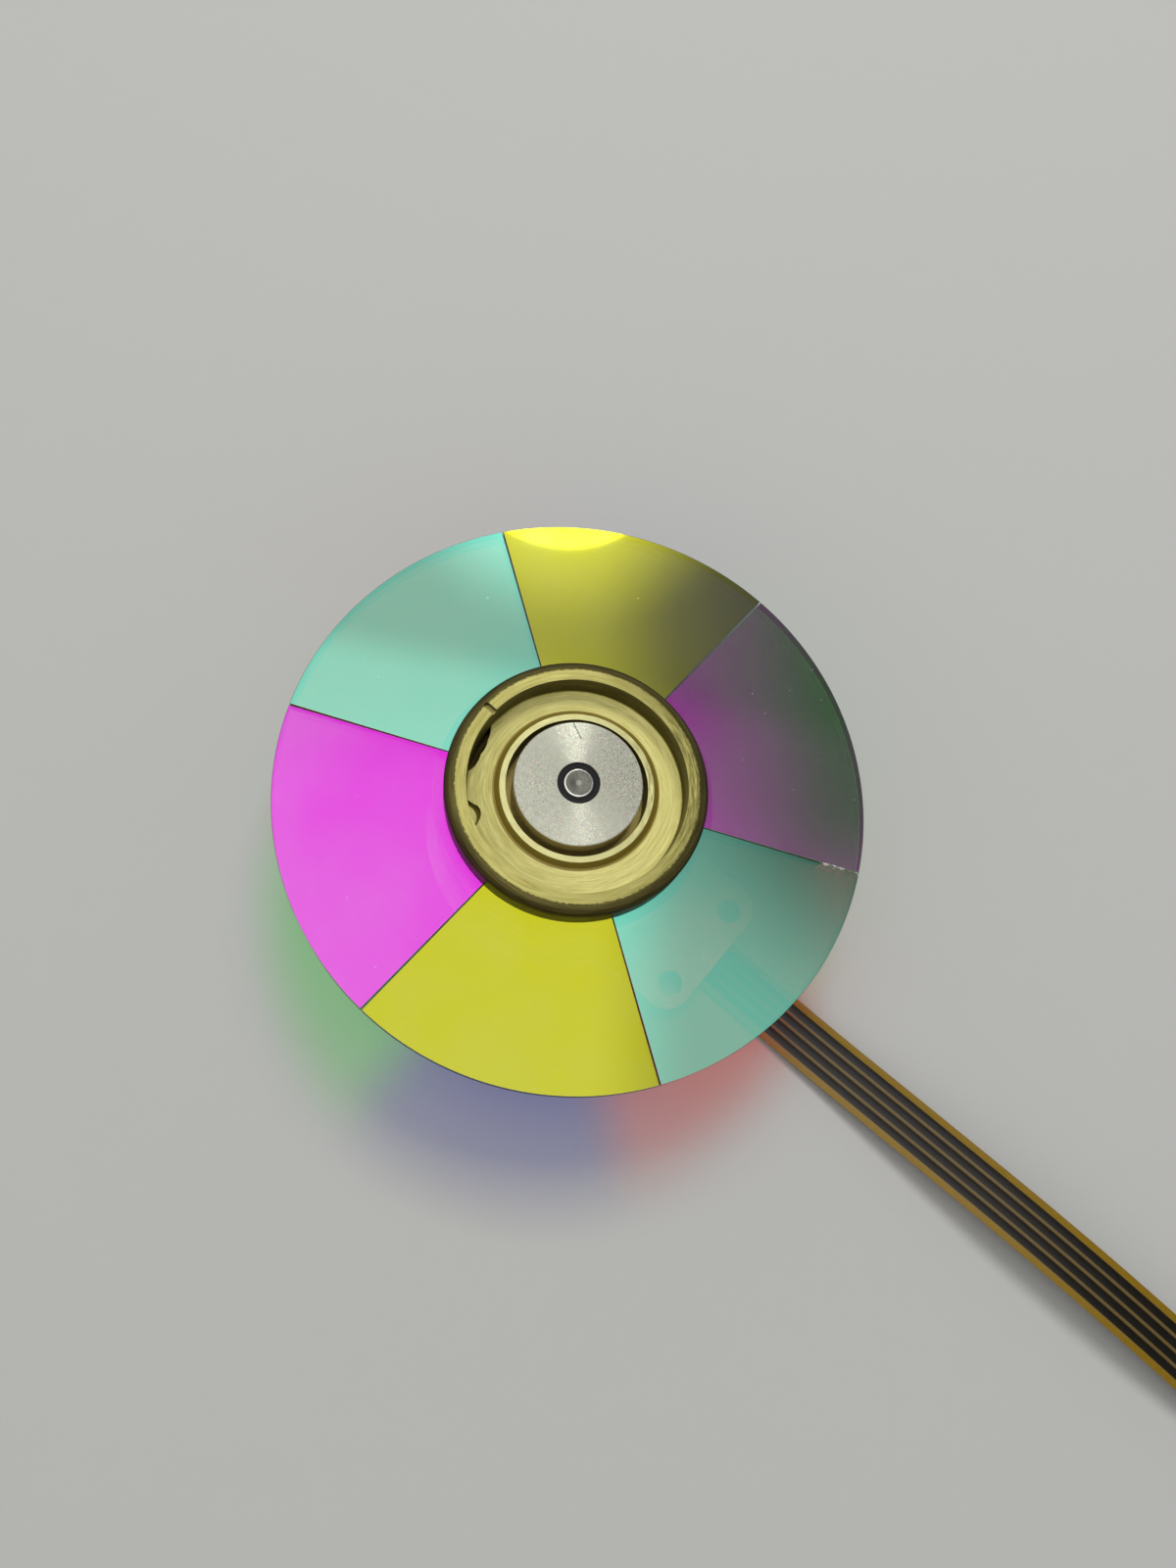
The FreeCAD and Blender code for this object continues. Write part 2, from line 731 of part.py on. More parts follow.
# The cable's fixed head is glued in the plate's channel, with the four motor leads soldered to it
def flex_head():
    body = new_body("flex_head")
    start = channel_start + channel_margin
    sketch = new_sketch(body, "XY_Plane", "outline", flex_top - flex_thickness)
    half = flex_width / 2
    draw_rectangle(sketch, (start, plate_reach), (-half, half))
    padded(body, sketch, flex_thickness, "film")

    solder = new_body("solder_joints")
    pads = new_sketch(solder, "XY_Plane", "pads", flex_top - flex_thickness - solder_height)
    near, far = slot_reach - solder_length / 2, slot_reach + solder_length / 2
    for number in range(LEAD_COUNT):
        middle = lead_pitch * (number - (LEAD_COUNT - 1) / 2)
        draw_rectangle(pads, (near, far), (middle - solder_width / 2, middle + solder_width / 2))
    padded(solder, pads, solder_height, "beads")


# The free cable, from the plate's edge: straight runs joined by tangent arcs, in the plane of the spin axis
CABLE_ROUTE = (
    (0.0, 0.0, 0.39),
    (9.1, 0.0, 0.39),
    (22.1, 0.0, 1.70),
    (37.1, 0.0, 3.10),
    (51.1, 0.0, 2.70),
    (63.1, 0.0, 0.90),
    (71.6, 0.0, 0.30),
    (80.1, 0.0, 0.30),
)
CABLE_BEND = 0.45


def rounded_route(points):
    """The edges of a route with each corner rounded as far as its two runs allow."""
    edges, radii = [], []
    start = points[0]
    for before, corner, after in zip(points, points[1:], points[2:]):
        inward, outward = (corner - before), (after - corner)
        shorter = min(inward.Length, outward.Length)
        inward.normalize()
        outward.normalize()
        turn = inward.getAngle(outward)
        cut = CABLE_BEND * shorter
        radii.append(cut / math.tan(turn / 2))
        begin, end = corner - inward * cut, corner + outward * cut
        bulge = (begin + end) / 2
        centre_line = corner - bulge
        sagitta = radii[-1] * (1 - math.cos(turn / 2))
        centre_line.normalize()
        middle = bulge + centre_line * sagitta
        edges.append(Part.LineSegment(start, begin).toShape())
        edges.append(Part.Arc(begin, middle, end).toShape())
        start = end
    edges.append(Part.LineSegment(start, points[-1]).toShape())
    return edges, radii


def flex_cable():
    points = [Vector(*place) for place in CABLE_ROUTE]
    edges, radii = rounded_route(points)
    path = Part.Wire(edges)
    along = points[1] - points[0]
    along.normalize()
    across = Vector(0, flex_width.number / 2, 0)
    up = along.cross(Vector(0, 1, 0)) * -(flex_thickness.number / 2)
    corners = []
    for side, height in ((1, 1), (-1, 1), (-1, -1), (1, -1)):
        corners.append(points[0] + across * side + up * height)
    section = Part.makePolygon(corners + corners[:1])
    cable = doc.addObject("Part::Feature", "flex_cable")
    cable.Shape = path.makePipeShell([section], True, False)
    cable.Label = "flex_cable"
    cable.Placement = Placement(Vector(plate_reach.number, 0, 0), Rotation())
    bind(cable, "Placement.Base.x", plate_reach)
    parts.append(cable)
    expected = path.Length * flex_width.number * flex_thickness.number
    print("cable length %.2f, volume %.4f of %.4f" % (path.Length, cable.Shape.Volume, expected))
    print("cable radii", [round(radius, 1) for radius in radii])


def cable_end():
    end = plate_reach + CABLE_ROUTE[-1][0]
    under = as_dim(CABLE_ROUTE[-1][2]) - flex_thickness / 2
    half = flex_width / 2
    stiffener = new_body("cable_stiffener")
    sketch = new_sketch(stiffener, "XY_Plane", "outline")
    start = end - stiffener_length
    draw_rectangle(sketch, (start, end), (-half, half))
    padded(stiffener, sketch, under, "film")

    contacts = new_body("cable_contacts")
    strips = new_sketch(contacts, "XY_Plane", "strips", under + flex_thickness)
    near = end - contact_length
    far = end - channel_margin
    for number in range(LEAD_COUNT):
        middle = lead_pitch * (number - (LEAD_COUNT - 1) / 2)
        draw_rectangle(strips, (near, far), (middle - contact_width / 2, middle + contact_width / 2))
    padded(contacts, strips, contact_thickness, "tin")


filters()
filter_bond()
balance_ring()
rotor_hub()
shaft()
shaft_seal()
rotor_yoke()
base_plate()
bearing()
stator_core()
insulator("upper_insulator", core_top, holder_radius + fit_gap)
insulator("lower_insulator", core_bottom - insulator_thickness, holder_seat_radius + fit_gap)
for phase, tooth in (("u", 0), ("v", 1), ("w", 2)):
    coils(f"coils_phase_{phase}", tooth)
flex_head()
flex_cable()
cable_end()
doc.recompute()

for thing in doc.Objects:
    if "Invalid" in thing.State or "Error" in thing.State:
        raise RuntimeError(f"{thing.Label} is {thing.State}")
for part in parts:
    if part.Shape.isNull() or not part.Shape.isValid() or not part.Shape.Solids:
        raise RuntimeError(f"{part.Label} has no valid solid")

os.makedirs("parts", exist_ok=True)
for part in parts:
    part.Shape.exportStep(os.path.join("parts", part.Label + ".step"))
    print("%-18s solids %d volume %.3f" % (part.Label, len(part.Shape.Solids), part.Shape.Volume))
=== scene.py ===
import math

import bmesh
import bpy
from mathutils import Matrix, Vector


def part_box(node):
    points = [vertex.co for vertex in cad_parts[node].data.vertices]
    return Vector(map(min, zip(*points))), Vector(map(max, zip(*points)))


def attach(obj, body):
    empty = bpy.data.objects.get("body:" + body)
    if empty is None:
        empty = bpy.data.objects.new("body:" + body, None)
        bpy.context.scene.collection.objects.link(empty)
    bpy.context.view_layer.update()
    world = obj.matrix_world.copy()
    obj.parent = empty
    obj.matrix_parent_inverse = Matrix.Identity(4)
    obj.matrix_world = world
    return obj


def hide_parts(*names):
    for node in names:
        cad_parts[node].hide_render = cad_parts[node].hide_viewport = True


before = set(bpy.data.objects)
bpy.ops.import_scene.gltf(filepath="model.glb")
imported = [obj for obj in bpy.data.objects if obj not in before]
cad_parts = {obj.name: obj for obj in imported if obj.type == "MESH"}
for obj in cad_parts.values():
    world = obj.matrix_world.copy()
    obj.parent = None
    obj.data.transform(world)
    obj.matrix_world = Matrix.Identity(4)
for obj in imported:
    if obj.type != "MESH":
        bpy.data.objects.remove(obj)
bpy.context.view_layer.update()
print("frame loaded, pieces:", len(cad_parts))

mm = 0.001
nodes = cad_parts


def edgeOf(node, side, axis):  # one side of a node's box, in mm
    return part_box(node)[side][axis] / mm


glassRadius = 25.0
glassTop = edgeOf("red_filter_1", 1, 2)
glassBottom = edgeOf("red_filter_1", 0, 2)
hubTop = edgeOf("rotor_hub", 1, 2)
ringRadius = 11.1
ringTop = edgeOf("balance_ring", 1, 2)
ringBottom = edgeOf("balance_ring", 0, 2)
shaftBottom = edgeOf("shaft", 0, 2)


# camera, placed from the photograph
viewFrom = {
    "place": (11.615, -30.068, 106.691),  # mm
    "right": (0.75572, 0.64317, 0.12337),
    "up": (-0.64510, 0.69863, 0.30946),
    "back": (0.11285, -0.31345, 0.94287),
    "lens": 27.05,
    "sensor": 36.0,
}


def addCamera():
    data = bpy.data.cameras.new("camera")
    data.lens = viewFrom["lens"]
    data.sensor_width = viewFrom["sensor"]
    data.clip_start = 0.003
    camera = bpy.data.objects.new("camera", data)
    bpy.context.scene.collection.objects.link(camera)
    turn = Matrix((viewFrom["right"], viewFrom["up"], viewFrom["back"])).transposed().to_4x4()
    camera.matrix_world = Matrix.Translation(Vector(viewFrom["place"]) * mm) @ turn
    bpy.context.scene.camera = camera


addCamera()
print("camera placed")


# shader building
def tint(red, green, blue):  # a screen colour from 0 to 255, made linear
    shares = (v / 255 for v in (red, green, blue))
    return tuple(((v + 0.055) / 1.055) ** 2.4 if v > 0.04 else v / 12.92 for v in shares) + (1.0,)


class Wire:
    def __init__(self, look, socket):
        self.look = look
        self.socket = socket

    def maths(self, operation, *others):
        return self.look.node("ShaderNodeMath", {"operation": operation}, dict(enumerate((self, *others))))

    def __add__(self, other):
        return self.maths("ADD", other)

    def __sub__(self, other):
        return self.maths("SUBTRACT", other)

    def __mul__(self, other):
        return self.maths("MULTIPLY", other)

    def __truediv__(self, other):
        return self.maths("DIVIDE", other)

    def __pow__(self, other):
        return self.maths("POWER", other)

    def __gt__(self, other):
        return self.maths("GREATER_THAN", other)

    def __lt__(self, other):
        return self.maths("LESS_THAN", other)

    def __rsub__(self, other):
        return self.look.node("ShaderNodeMath", {"operation": "SUBTRACT"}, {0: other, 1: self})

    __radd__ = __add__
    __rmul__ = __mul__


class Look:
    def __init__(self, tree):
        self.tree = tree
        self.tree.nodes.clear()

    def node(self, kind, settings=None, inputs=None, out=0):
        made = self.tree.nodes.new(kind)
        for name, value in (settings or {}).items():
            setattr(made, name, value)
        for name, value in (inputs or {}).items():
            if isinstance(value, Wire):
                self.tree.links.new(value.socket, made.inputs[name])
            else:
                made.inputs[name].default_value = value
        return Wire(self, made.outputs[out]) if len(made.outputs) else made

    def between(self, value, low, high):  # 0 at low, 1 at high
        limits = {"Value": value, "From Min": low, "From Max": high}
        return self.node("ShaderNodeMapRange", {"interpolation_type": "SMOOTHSTEP"}, limits)

    def blend(self, factor, first, second, mode="MIX"):
        settings = {"data_type": "RGBA", "blend_type": mode}
        return self.node("ShaderNodeMix", settings, {0: factor, 6: first, 7: second}, 2)

    def noise(self, where, scale, detail=3.0, rough=0.6, dimensions="3D"):
        name = "W" if dimensions == "1D" else "Vector"
        values = {name: where, "Scale": scale, "Detail": detail, "Roughness": rough}
        return self.node("ShaderNodeTexNoise", {"noise_dimensions": dimensions}, values)

    def vector(self, operation, *vectors, out=0):
        return self.node("ShaderNodeVectorMath", {"operation": operation}, dict(enumerate(vectors)), out)

    def parts(self, vector):
        return [self.node("ShaderNodeSeparateXYZ", inputs={0: vector}, out=i) for i in range(3)]

    def place(self):  # object coordinates, in mm
        where = self.node("ShaderNodeTexCoord", out="Object")
        scaled = self.node("ShaderNodeVectorMath", {"operation": "SCALE"}, {0: where, "Scale": 1 / mm})
        return scaled, *self.parts(scaled)

    def bump(self, height, strength, distance):
        inputs = {"Height": height, "Strength": strength, "Distance": distance}
        return self.node("ShaderNodeBump", inputs=inputs)

    def principled(self, colour, roughness, metallic=0.0, **others):
        inputs = {"Base Color": colour, "Roughness": roughness, "Metallic": metallic, **others}
        return self.node("ShaderNodeBsdfPrincipled", inputs=inputs)

    def finish(self, surface):
        self.node("ShaderNodeOutputMaterial", inputs={"Surface": surface})


def newLook(name):
    material = bpy.data.materials.new(name)
    material.use_nodes = True
    return material, Look(material.node_tree)


toolMarks = {
    "slope": 0.7,  # how far the marks follow a slope
    "streakScale": 0.35,
    "streakBorders": (0.32, 0.68),
    "wearScale": 1.4,
    "wearShare": 0.08,
    "inward": 0.21,  # how far a raised normal leans to the axis
}


def turnedLook(name, bright, dark, roughness, rock=0.35, pitch=0.03, arcs=9.0, zones=None):
    # short arcs left by the tool: they rock the normal across the marks and vary the tone
    material, look = newLook(name)
    where, x, y, z = look.place()
    radius = ((x * x + y * y) ** 0.5).maths("MAXIMUM", 0.01)
    along = (radius - z * toolMarks["slope"]) / pitch
    spots = {"X": x / radius * arcs, "Y": y / radius * arcs, "Z": along}
    marks = look.node("ShaderNodeCombineXYZ", inputs=spots)
    objectNormal = look.node("ShaderNodeTexCoord", out="Normal")
    upright = look.parts(objectNormal)[2]
    toWorld = {"vector_type": "VECTOR", "convert_from": "OBJECT", "convert_to": "WORLD"}
    tangent = look.node("ShaderNodeCombineXYZ", inputs={"X": 0 - y / radius, "Y": x / radius, "Z": 0.0})
    tangent = look.node("ShaderNodeVectorTransform", toWorld, {0: tangent})
    normal = look.node("ShaderNodeNewGeometry", out="Normal")
    streaks = look.noise(marks, toolMarks["streakScale"], 4.0, 0.75)
    colour = look.blend(look.between(streaks, *toolMarks["streakBorders"]), dark, bright)
    worn = look.noise(where, toolMarks["wearScale"], 4.0, 0.65)
    rough = roughness + (worn - 0.5) * toolMarks["wearShare"]
    metallic = 1.0
    lift = None
    if zones:
        colour, rough, metallic, lift = zones(look, radius, z, where, upright, colour, rough, streaks)
    if lift is not None:
        inward = lift * -toolMarks["inward"]
        ways = {"X": x / radius * inward, "Y": y / radius * inward, "Z": lift}
        rise = look.node("ShaderNodeCombineXYZ", inputs=ways)
        rise = look.node("ShaderNodeVectorTransform", toWorld, {0: rise})
        normal = look.vector("NORMALIZE", look.vector("ADD", normal, rise))
    across = look.vector("CROSS_PRODUCT", normal, tangent)
    fine = look.noise(marks, 1.0, 3.0, 0.7) - 0.5
    rocked = look.node("ShaderNodeVectorMath", {"operation": "SCALE"}, {0: across, "Scale": fine * rock})
    normal = look.vector("NORMALIZE", look.vector("ADD", normal, rocked))
    look.finish(look.principled(colour, rough, metallic, Normal=normal))
    return material


# the brass ring is tarnished on its outer shoulder; its steep walls, balance pockets, collar cone and nick
# floor get painted shade, and its trough floor and collar top get lighter painted tones (painted light)
ring = {
    "trough": 9.27,
    "foot": 1.2,  # below the glass's face
    "footRound": 0.5,
    "floorEnd": 7.08,
    "floorRise": 0.17,
    "collar": 6.5,
    "collarBore": 6.0,
    "collarHeight": 0.85,
    "shoulder": 0.9,
    "spigot": 9.95,
    "floorLitTone": tint(222, 214, 134),
    "coneShadeTone": tint(150, 130, 48),
    "bright": tint(195, 188, 116),
    "dark": tint(170, 161, 90),
    "floorLitDark": tint(200, 191, 109),
    "collarLitTone": tint(218, 213, 150),
    "darkenedTone": tint(84, 73, 32),
    "darkenedToneDeep": tint(50, 43, 16),
    "radii": {  # where a finish begins and where it is full, from the axis
        "shoulder": (10.12, 10.26),
        "rimTop": (10.57, 10.87),
        "trough": (9.26, 9.22),
        "cone": (7.3, 7.1),
        "collar": (6.62, 6.52),
        "nickInner": (9.3, 9.35),
        "nickOuter": (10.2, 10.12),
    },
    "tilts": {  # the same by the upright share of the face's normal
        "steepShade": (0.82, 0.12),
        "dished": (0.5, 0.8),
        "coneLow": (0.56, 0.62),
        "coneHigh": (0.74, 0.68),
        "collar": (0.9, 0.97),
    },
    "levels": {  # the same by height over the foot, the glass and the rim
        "pocket": (-0.1, -0.4),
        "trough": (0.4, 0.25),
        "nick": (-0.2, -0.3),
    },
    "markBorders": (0.38, 0.62),
    "raggedness": 0.5,
    "shoulderShare": 0.72,
    "bandShare": 0.3,
    "rimShare": 0.22,
    "steepShadeShare": 0.9,
    "nickShadeShare": 0.6,
    "dulled": {"dished": 0.65, "cone": 0.6, "darkenedZones": 0.15},
    "floorLift": 6,
    "cutMargin": 0.05,  # the cuts stop short of the trough's wall
    "cuts": (  # radius, reach, angle, depth, radius of the cutter's end
        (2.6, 11.19, 201.6, 0.7, 2.6),
        (2.5, 11.02, 195.2, 0.7, 2.5),
        (2.5, 11.19, 191.0, 0.7, 2.5),
        (2.2, 9.7, 234.7, 0.08, 1.15),
    ),
    "nick": {"width": 0.52, "reach": 10.1, "depth": 0.35, "angle": 180.2},
}


def ringZones(look, radius, z, where, upright, colour, rough, streaks):
    radii, tilts, levels = ring["radii"], ring["tilts"], ring["levels"]
    patchy = look.noise(where, 3.5, 5.0, 0.7)
    band = look.noise(z, 2.4, 2.0, 0.6, "1D")
    border = radius + (patchy - 0.5) * ring["raggedness"]
    shoulder = look.between(border, *radii["shoulder"]) * (ring["shoulderShare"] + band * ring["bandShare"])
    shoulder = shoulder + look.between(radius, *radii["rimTop"]) * ring["rimShare"]
    # painted shade on the steep walls and in the pockets below the trough's foot, joined with the shoulder's
    # tarnish in one darker tone
    steepShade = look.between(upright, *tilts["steepShade"]) * ring["steepShadeShare"]
    pocket = look.between(z - (glassTop - ring["foot"]), *levels["pocket"])
    darkenedZones = shoulder.maths("MAXIMUM", steepShade).maths("MAXIMUM", pocket).maths("MINIMUM", 1.0)
    marked = look.between(streaks, *ring["markBorders"])
    tarnishAndShade = look.blend(marked, ring["darkenedToneDeep"], ring["darkenedTone"])
    colour = look.blend(darkenedZones, colour, tarnishAndShade)

    # the rough dished floor gets a lighter painted tone (painted light) and a raised normal that scatters
    # light as a level one does; the collar's cone gets painted shade and its flat top a lighter painted tone
    # (painted light)
    inside = look.between(z - glassTop, *levels["trough"]) * look.between(radius, *radii["trough"])
    dished = look.between(upright, *tilts["dished"]) * inside * (1 - pocket)
    cone = look.between(upright, *tilts["coneLow"]) * look.between(upright, *tilts["coneHigh"])
    cone = cone * look.between(radius, *radii["cone"])
    floorLitTone = look.blend(marked, ring["floorLitDark"], ring["floorLitTone"])
    colour = look.blend(dished, colour, floorLitTone)
    colour = look.blend(cone, colour, ring["coneShadeTone"])
    collarTop = look.between(radius, *radii["collar"]) * look.between(upright, *tilts["collar"])
    colour = look.blend(collarTop, colour, ring["collarLitTone"])
    # painted shade on the floor of the nick
    nickShade = look.between(z - ringTop, *levels["nick"]) * look.between(radius, *radii["nickInner"])
    nickShade = nickShade * look.between(radius, *radii["nickOuter"])
    colour = look.blend(nickShade * ring["nickShadeShare"], colour, ring["darkenedTone"])
    dulled = ring["dulled"]
    metallic = 1 - dished * dulled["dished"] - cone * dulled["cone"] - darkenedZones * dulled["darkenedZones"]
    return colour, rough + darkenedZones * 0.1, metallic, dished * ring["floorLift"]


hub = {
    "boss": 5.4,
    "chamfer": 0.08,
    "flange": 12.0,
    "flangeHeight": 0.8,
    "land": 10.15,
    "landHeight": 1.85,
    "spigot": 3.95,
    "spigotLength": 1.0,
    "bore": 1.26,
    "sealSeat": 1.8,
    "sealDepth": 0.5,
    "darkenedTone": tint(196, 172, 84),
    "shadeAndReflectionShare": 0.94,
    "sideTilts": (0.8, 0.3),
    "lowLevels": (-0.6, -1.2),  # from the face
    "scratch": ((-3.92, 3.76), (-2.36, 3.07)),
    "scratchEdge": (0.07, 0.04),
    "scratchTone": tint(84, 82, 72),
}


def hubZones(look, radius, z, where, upright, colour, rough, streaks):
    # painted reflection of the brass on the boss's steep side and painted shade on its low parts, both drawn
    # in one golden tone
    side = look.between(upright, *hub["sideTilts"])
    low = look.between(z - hubTop, *hub["lowLevels"])
    darkenedZones = side.maths("MAXIMUM", low) * hub["shadeAndReflectionShare"]
    # a faint rainbow sheen painted over the whole face (painted reflection)
    grain = {"Vector": where, "Scale": 3.0, "Detail": 3.0}
    paintedSheen = look.node("ShaderNodeTexNoise", inputs=grain, out="Color")
    colour = look.blend(0.12, colour, paintedSheen, "OVERLAY")
    colour = look.blend(darkenedZones, colour, hub["darkenedTone"])

    # one fine scratch on the face
    (x1, y1), (x2, y2) = hub["scratch"]
    long = math.hypot(x2 - x1, y2 - y1)
    offset = look.vector("SUBTRACT", where, (x1, y1, hubTop))
    ahead = look.vector("DOT_PRODUCT", offset, ((x2 - x1) / long, (y2 - y1) / long, 0), out="Value")
    aside = look.vector("DOT_PRODUCT", offset, ((y1 - y2) / long, (x2 - x1) / long, 0), out="Value")
    scratch = look.between(aside.maths("ABSOLUTE"), *hub["scratchEdge"]) * (ahead > 0) * (ahead < long)
    colour = look.blend(scratch * 0.6, colour, hub["scratchTone"])
    return colour, rough + darkenedZones * 0.15, 1 - darkenedZones * 0.7, None


axle = {
    "radius": 1.25,
    "crown": 0.1,
    "crownRadii": (1.06, 1.14),
    "crownHighlightTone": tint(236, 235, 226),
    "dimple": 0.98,
    "dimpleDepth": 0.05,
    "centreRadii": (0.3, 0.18),
    "centreTone": tint(176, 175, 164),
    "foot": 0.35,
    "grooveTop": 2.0,
    "grooveHeight": 0.34,
    "grooveDepth": 0.25,
}


def shaftZones(look, radius, z, where, upright, colour, rough, streaks):
    # a polished crown round the end with a painted highlight in its lighter tone, a dull dish and a small
    # centre mark
    crown = look.between(radius, *axle["crownRadii"])
    aboveFoot = look.between(z - shaftBottom, 1.0, 2.0)
    centre = look.between(radius, *axle["centreRadii"]) * aboveFoot
    colour = look.blend(crown, colour, axle["crownHighlightTone"])
    colour = look.blend(centre * 0.6, colour, axle["centreTone"])
    return colour, rough - crown * 0.16, 1 - centre * 0.3, None


# filter colours: what the coating mirrors and what it lets through
filters = {
    "order": ("red", "green", "blue"),
    "red": {"mirrored": tint(122, 250, 222), "passed": tint(255, 118, 92)},
    "green": {"mirrored": tint(255, 40, 248), "passed": tint(140, 255, 150)},
    "blue": {"mirrored": tint(226, 226, 6), "passed": tint(106, 110, 224)},
    "coating": 0.56,
    "bare": 0.05,
    "bareTone": tint(222, 236, 228),
    "cutTone": tint(30, 40, 34),
    "groundTone": tint(72, 80, 75),
    "groundFrom": 20.0,
    "dustTone": tint(255, 255, 255),
    "edge": 0.04,
    "gap": 0.25,
    "spans": (59.2, 63.1, 57.7),
    "start": 146.0,
    "bore": 10.05,
    "steps": 48,
}
chips = {"angle": 25.2, "from": 21.6, "depth": 0.64, "tone": tint(250, 250, 246)}


def filterLook(name, mirrored, passed):
    material, look = newLook(name)
    where, x, y, z = look.place()
    radius = (x * x + y * y) ** 0.5
    facing = look.parts(look.node("ShaderNodeTexCoord", out="Normal"))
    outward = ((facing[0] * x + facing[1] * y) / radius).maths("ABSOLUTE")
    coated = look.between(facing[2], 0.9, 0.98)
    cutFace = look.between(outward, 0.5, 0.3) * look.between(facing[2].maths("ABSOLUTE"), 0.85, 0.6)
    ground = look.between(outward, 0.5, 0.7) * (radius > filters["groundFrom"])
    haze = look.noise(where, 0.25, 2.0, 0.5)
    dust = look.node("ShaderNodeTexVoronoi", {"feature": "F1"}, {"Vector": where, "Scale": 0.55}, "Distance")
    speck = look.between(dust, 0.05, 0.03)
    tone = look.blend(haze * 0.05 + speck * 0.25, mirrored, filters["dustTone"])

    # chips along one joint, near the rim
    a = math.radians(chips["angle"])
    aside = (y * math.cos(a) - x * math.sin(a)).maths("ABSOLUTE")
    ahead = x * math.cos(a) + y * math.sin(a)
    flakes = look.noise(where, 4.5, 3.0, 0.7)
    chipped = (aside < (flakes - 0.42) * chips["depth"]) * (ahead > chips["from"])

    colour = look.blend(coated, filters["bareTone"], tone)
    colour = look.blend(cutFace, colour, filters["cutTone"])
    colour = look.blend(ground, colour, filters["groundTone"])
    colour = look.blend(chipped, colour, chips["tone"])
    roughness = 0.03 + speck * 0.25 + (1 - coated) * 0.12 + chipped * 0.4 + ground * 0.75
    mirror = look.principled(colour, roughness, coated * (1 - chipped))
    clear = look.node("ShaderNodeBsdfTransparent", inputs={"Color": passed})
    share = coated * filters["coating"] + (1 - coated) * filters["bare"]
    solid = (cutFace * 0.9).maths("MAXIMUM", ground * 0.8).maths("MAXIMUM", chipped * 0.9)
    share = share.maths("MAXIMUM", solid)
    look.finish(look.node("ShaderNodeMixShader", inputs={0: share, 1: clear, 2: mirror}))
    return material


def plainLook(name, colour, shade, roughness, metallic=0.0, grain=2.0, relief=0.3):
    material, look = newLook(name)
    where = look.place()[0]
    mottle = look.noise(where, grain, 5.0, 0.65)
    tone = look.blend(look.between(mottle, 0.25, 0.75), shade, colour)
    rough = roughness + (mottle - 0.5) * 0.2
    normal = look.bump(look.noise(where, grain * 6, 3.0, 0.6), relief, 0.00003)
    look.finish(look.principled(tone, rough, metallic, Normal=normal))
    return material


def laminatedLook(name):
    material, look = newLook(name)
    where, x, y, z = look.place()
    sheetThickness = 0.35  # mm
    step = (z / sheetThickness).maths("FRACT")
    seam = look.between((step - 0.5).maths("ABSOLUTE"), 0.4, 0.5)
    mottle = look.noise(where, 2.5, 4.0, 0.6)
    tone = look.blend(mottle, tint(112, 114, 118), tint(150, 152, 156))
    tone = look.blend(seam, tone, tint(38, 38, 40))
    normal = look.bump(1 - seam, 0.6, 0.00004)
    look.finish(look.principled(tone, 0.42 + mottle * 0.15, 0.9, Normal=normal))
    return material


looks = {
    "brass": turnedLook(
        "ringBrass", ring["bright"], ring["dark"], 0.32, rock=0.7, pitch=0.085, arcs=6.0, zones=ringZones
    ),
    "hub": turnedLook(
        "hubAluminium",
        tint(192, 192, 175),
        tint(178, 178, 162),
        0.11,
        rock=1.1,
        pitch=0.012,
        arcs=30.0,
        zones=hubZones,
    ),
    "shaft": turnedLook(
        "shaftSteel",
        tint(132, 131, 120),
        tint(104, 103, 95),
        0.3,
        rock=0.3,
        pitch=0.05,
        arcs=12.0,
        zones=shaftZones,
    ),
    "holder": turnedLook("holderBrass", tint(216, 190, 112), tint(176, 148, 80), 0.3),
    "sleeve": turnedLook("sleeveBronze", tint(172, 124, 80), tint(120, 82, 52), 0.45),
    "thrust": turnedLook("thrustSteel", tint(196, 196, 194), tint(168, 168, 166), 0.18),
    "cup": turnedLook("cupSteel", tint(196, 198, 200), tint(182, 184, 187), 0.28, 0.07, 0.08),
    "seal": plainLook("sealRubber", tint(20, 20, 18), tint(10, 10, 9), 0.55, grain=6.0),
    "magnet": plainLook("bondedMagnet", tint(60, 60, 63), tint(38, 38, 41), 0.5, 0.3, 5.0, 0.5),
    "mark": plainLook("markFilm", tint(20, 20, 20), tint(12, 12, 12), 0.75, grain=3.0),
    "plate": plainLook("plateAluminium", tint(238, 238, 234), tint(224, 224, 221), 0.4, 0.75, 1.6, 0.5),
    "pad": plainLook("thrustPlastic", tint(214, 206, 180), tint(196, 186, 158), 0.45),
    "core": laminatedLook("coreSteel"),
    "insulator": plainLook("insulatorNylon", tint(40, 92, 70), tint(26, 68, 52), 0.4, grain=3.0),
    "copper": plainLook("enamelledCopper", tint(214, 112, 62), tint(170, 78, 38), 0.24, 0.85, 4.0, 0.2),
    # the bond gets a dark painted shade tone, as of the shaded floor seen through the glass
    "shadedBond": plainLook("bondPaintedShade", tint(112, 106, 88), tint(96, 90, 74), 0.3),
    "stiffener": plainLook("stiffenerFilm", tint(214, 218, 220), tint(196, 200, 204), 0.4, grain=3.0),
    "tin": plainLook("tin", tint(206, 206, 202), tint(176, 176, 172), 0.25, 1.0, 5.0, 0.5),
}
for colour in filters["order"]:
    looks[colour] = filterLook(f"{colour}Coating", filters[colour]["mirrored"], filters[colour]["passed"])
print("materials made:", len(looks))

